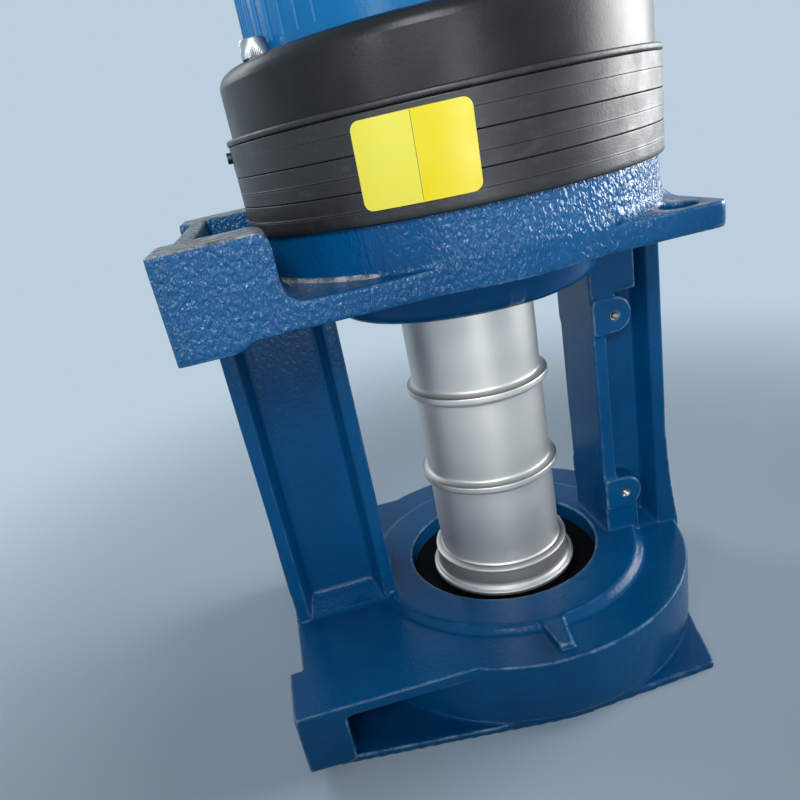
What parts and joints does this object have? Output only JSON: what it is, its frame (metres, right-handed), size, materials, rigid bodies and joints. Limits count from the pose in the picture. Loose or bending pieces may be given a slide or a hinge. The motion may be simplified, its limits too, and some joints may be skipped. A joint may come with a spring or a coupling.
{
  "type": "elevator traction machine",
  "caption": "Gearless belt traction machine for an elevator: cast frame with foot pads, ridged drive shaft, disc brake under a dust band, ribbed motor and encoder.",
  "frame": {"origin": "on the shaft axis, at the flat outboard end face that the machine stands on", "axes": "+Z along the shaft axis from the outboard bearing towards the motor and encoder; -X points at the foot plane, so +X is up when the machine is mounted; Y runs across the feet"},
  "size_m": [0.3744, 0.298, 0.7689],
  "materials": {
    "casting_blue": "gloss paint over a rough cast skin",
    "motor_blue": "gloss paint on a smooth ribbed housing",
    "black_paint": "semi-matt black paint",
    "rubber_black": "semi-matt moulded rubber",
    "plastic_black": "fine-grained plastic",
    "shaft_nickel": "satin turned steel with a thin nickel plating",
    "bearing_steel": "ground and polished",
    "cage_brass": "machined brass",
    "machined_steel": "turned or ground steel",
    "zinc_fasteners": "bright zinc plating",
    "spring_steel": "oiled spring wire",
    "friction_lining": "pressed friction material",
    "copper_winding": "varnished copper wire",
    "lamination_steel": "stacked electrical sheet",
    "cast_rotor": "machined casting",
    "magnet": "coated magnet blocks",
    "terminal_plastic": "moulded plastic"
  },
  "bodies": {
    "frame": {"machine_frame": "casting_blue", "outboard_cover": "casting_blue", "outboard_cover_bolts": "zinc_fasteners", "outboard_seal": "rubber_black", "outboard_outer_race": "bearing_steel", "main_outer_race": "bearing_steel", "bearing_keeper": "machined_steel", "bearing_keeper_screws": "zinc_fasteners", "brake_housing": "black_paint", "brake_coil_a": "copper_winding", "brake_coil_b": "copper_winding", "brake_springs_a": "spring_steel", "brake_springs_b": "spring_steel", "brake_guide_sleeves": "machined_steel", "brake_bolts": "zinc_fasteners", "dust_band": "rubber_black", "dust_band_screws": "plastic_black", "motor_housing": "motor_blue", "motor_tie_bolts": "zinc_fasteners", "stator_core": "lamination_steel", "stator_windings": "copper_winding", "end_shield": "motor_blue", "rear_outer_race": "bearing_steel", "wave_spring": "machined_steel", "encoder_body": "plastic_black", "encoder_bracket": "machined_steel", "encoder_cover": "plastic_black", "encoder_cover_screws": "zinc_fasteners", "terminal_box": "motor_blue", "terminal_box_screws": "zinc_fasteners", "terminal_gasket": "rubber_black", "terminal_lid": "motor_blue", "terminal_lid_screws": "zinc_fasteners", "terminal_block": "terminal_plastic", "cable_glands": "plastic_black"},
    "rotor": {"traction_shaft": "shaft_nickel", "outboard_inner_race": "bearing_steel", "outboard_circlip": "machined_steel", "main_inner_race": "bearing_steel", "brake_hub": "machined_steel", "hub_key": "machined_steel", "rotor_spider": "cast_rotor", "rotor_key": "machined_steel", "rotor_magnets": "magnet", "rotor_nut": "machined_steel", "rear_inner_race": "bearing_steel", "encoder_rotor": "machined_steel"},
    "friction_disc": {"friction_disc": "machined_steel", "friction_linings": "friction_lining"},
    "armature_a": {"armature_a": "machined_steel"},
    "armature_b": {"armature_b": "machined_steel"},
    "outboard_ball_set": {"outboard_balls": "bearing_steel", "outboard_cage": "cage_brass"},
    "main_ball_set": {"main_balls": "bearing_steel", "main_cage": "cage_brass"},
    "rear_ball_set": {"rear_balls": "bearing_steel", "rear_cage": "cage_brass"}
  },
  "joints": [
    {"name": "rotor_spin", "type": "hinge", "parent": "frame", "child": "rotor", "pos_m": [0, 0, 0.2], "axis": [0, 0, 1], "continuous": true},
    {"name": "outboard_balls_roll", "type": "hinge", "parent": "frame", "child": "outboard_ball_set", "pos_m": [0, 0, 0.0255], "axis": [0, 0, 1], "continuous": true},
    {"name": "main_balls_roll", "type": "hinge", "parent": "frame", "child": "main_ball_set", "pos_m": [0, 0, 0.3415], "axis": [0, 0, 1], "continuous": true},
    {"name": "rear_balls_roll", "type": "hinge", "parent": "frame", "child": "rear_ball_set", "pos_m": [0, 0, 0.693], "axis": [0, 0, 1], "continuous": true},
    {"name": "armature_a_lift", "type": "slide", "parent": "frame", "child": "armature_a", "axis": [0, 0, 1], "range_m": [0, 0.0005], "stiffness_N_per_m": 20000, "springref_m": -0.002, "deforming": ["brake_springs_a"]},
    {"name": "armature_b_lift", "type": "slide", "parent": "frame", "child": "armature_b", "axis": [0, 0, 1], "range_m": [0, 0.0005], "stiffness_N_per_m": 20000, "springref_m": -0.002, "deforming": ["brake_springs_b"]},
    {"name": "friction_disc_float", "type": "slide", "parent": "rotor", "child": "friction_disc", "axis": [0, 0, 1], "range_m": [0, 0.00025]}
  ],
  "couplings": [
    {"joint": "outboard_balls_roll", "follows": "rotor_spin", "ratio": 0.3866},
    {"joint": "main_balls_roll", "follows": "rotor_spin", "ratio": 0.3884},
    {"joint": "rear_balls_roll", "follows": "rotor_spin", "ratio": 0.3967},
    {"joint": "armature_b_lift", "follows": "armature_a_lift", "ratio": 1},
    {"joint": "friction_disc_float", "follows": "armature_a_lift", "ratio": 0.5}
  ]
}
